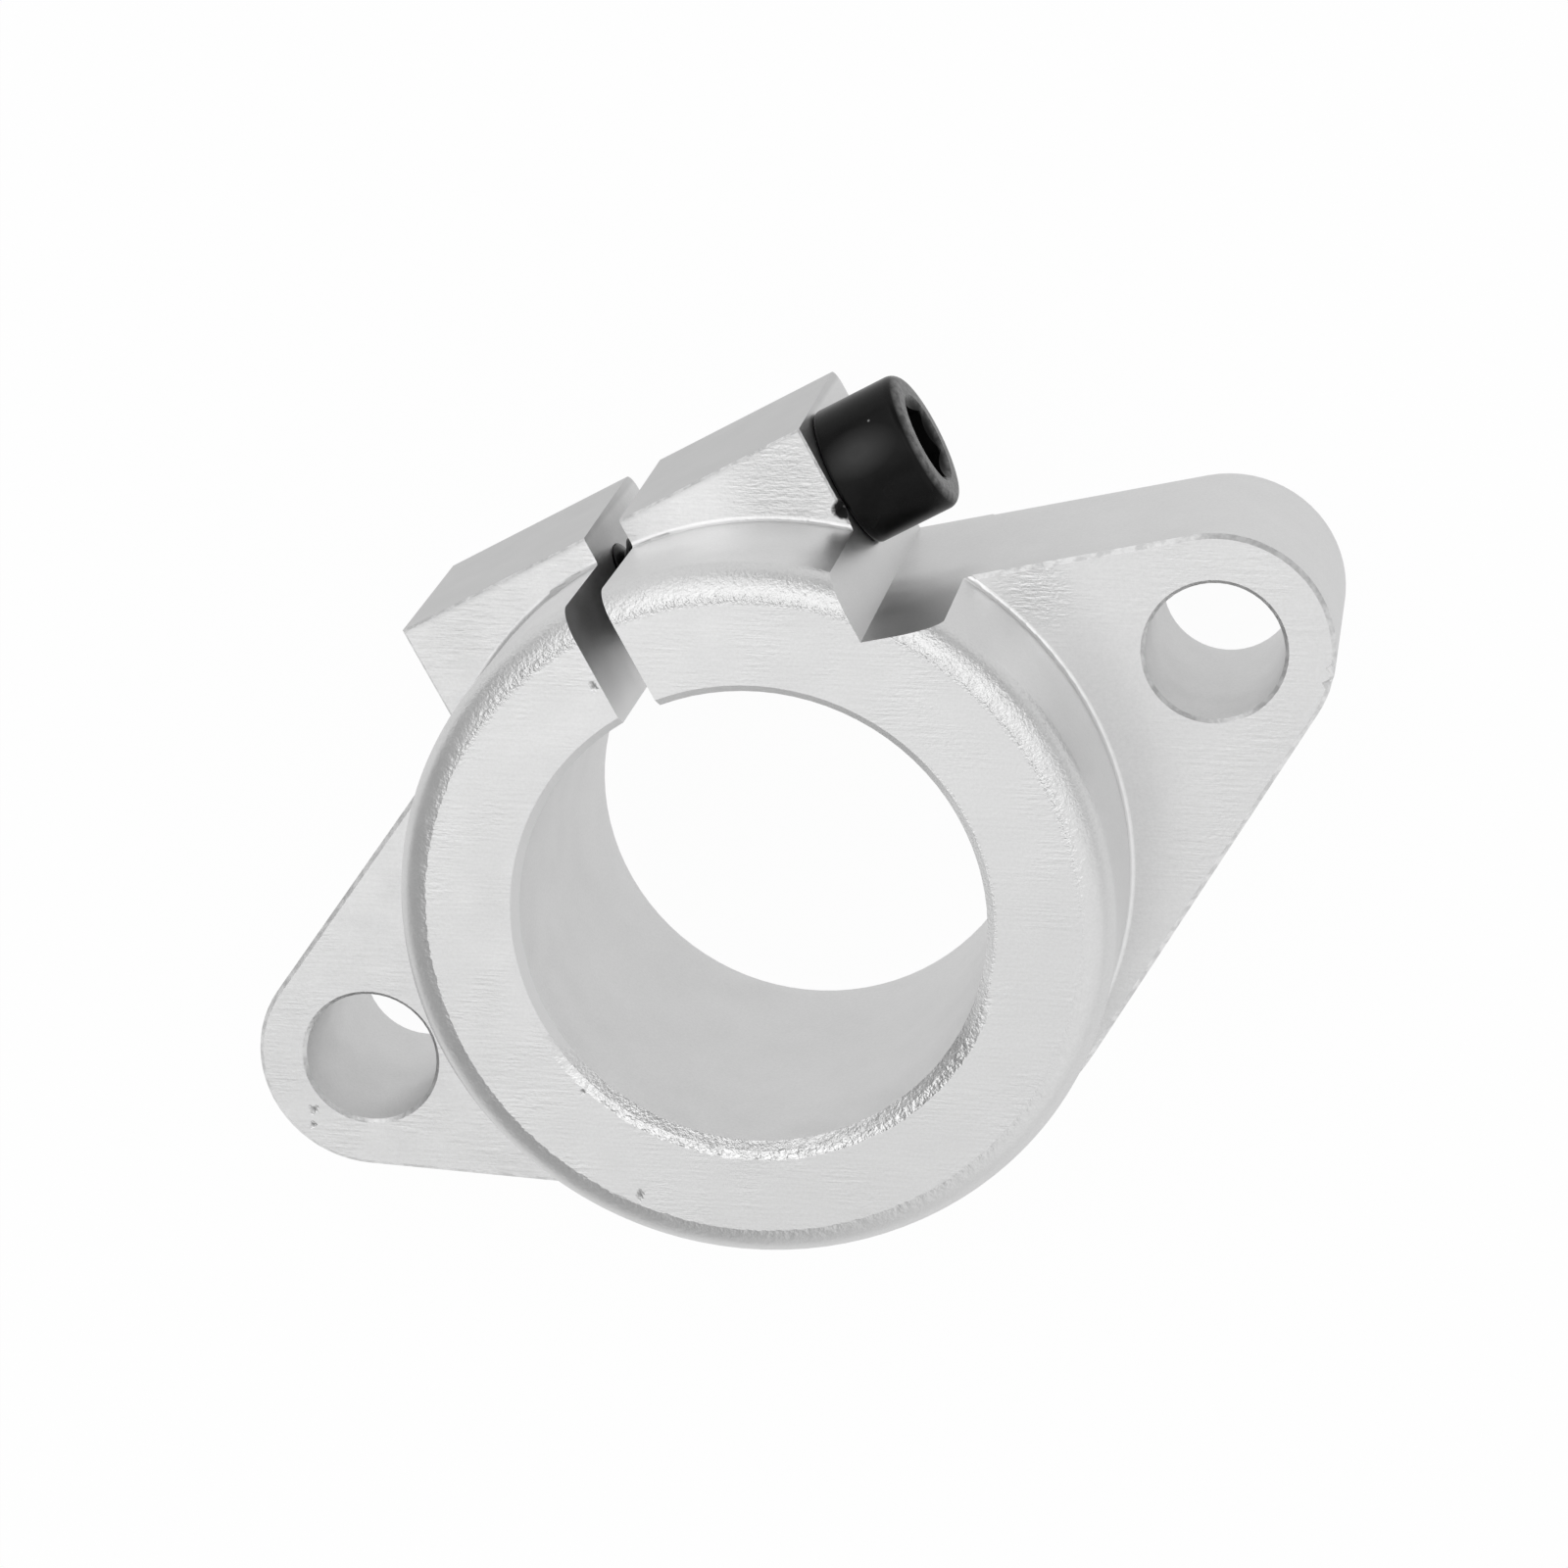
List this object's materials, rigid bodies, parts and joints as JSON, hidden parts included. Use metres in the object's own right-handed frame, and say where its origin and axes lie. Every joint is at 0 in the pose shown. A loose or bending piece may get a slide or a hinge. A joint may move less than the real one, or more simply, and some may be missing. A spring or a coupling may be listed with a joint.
{
  "type": "shaft support block",
  "caption": "Flanged aluminium shaft support with a round through bore, a split clamp lug drawn up by a socket head screw, and two lobes with mounting holes.",
  "frame": {"origin": "on the bore axis, in the plane of the flat mounting face", "axes": "+Z along the bore axis towards the hub's nose, +X towards the lobe on the screw head's side, +Y towards the clamp lug"},
  "size_m": [0.0794, 0.0496, 0.03],
  "materials": {
    "cast_aluminium": "satin, fine blasted grain",
    "black_oxide_steel": "black oxide, slightly oiled"
  },
  "bodies": {
    "block": {"support_body": "cast_aluminium"},
    "screw": {"clamp_screw": "black_oxide_steel"}
  },
  "joints": [
    {"name": "clamp_screw_turn", "type": "hinge", "parent": "block", "child": "screw", "pos_m": [0.015, 0.0199, 0.012], "axis": [1, 0, 0], "range_deg": [-180, 360]}
  ]
}
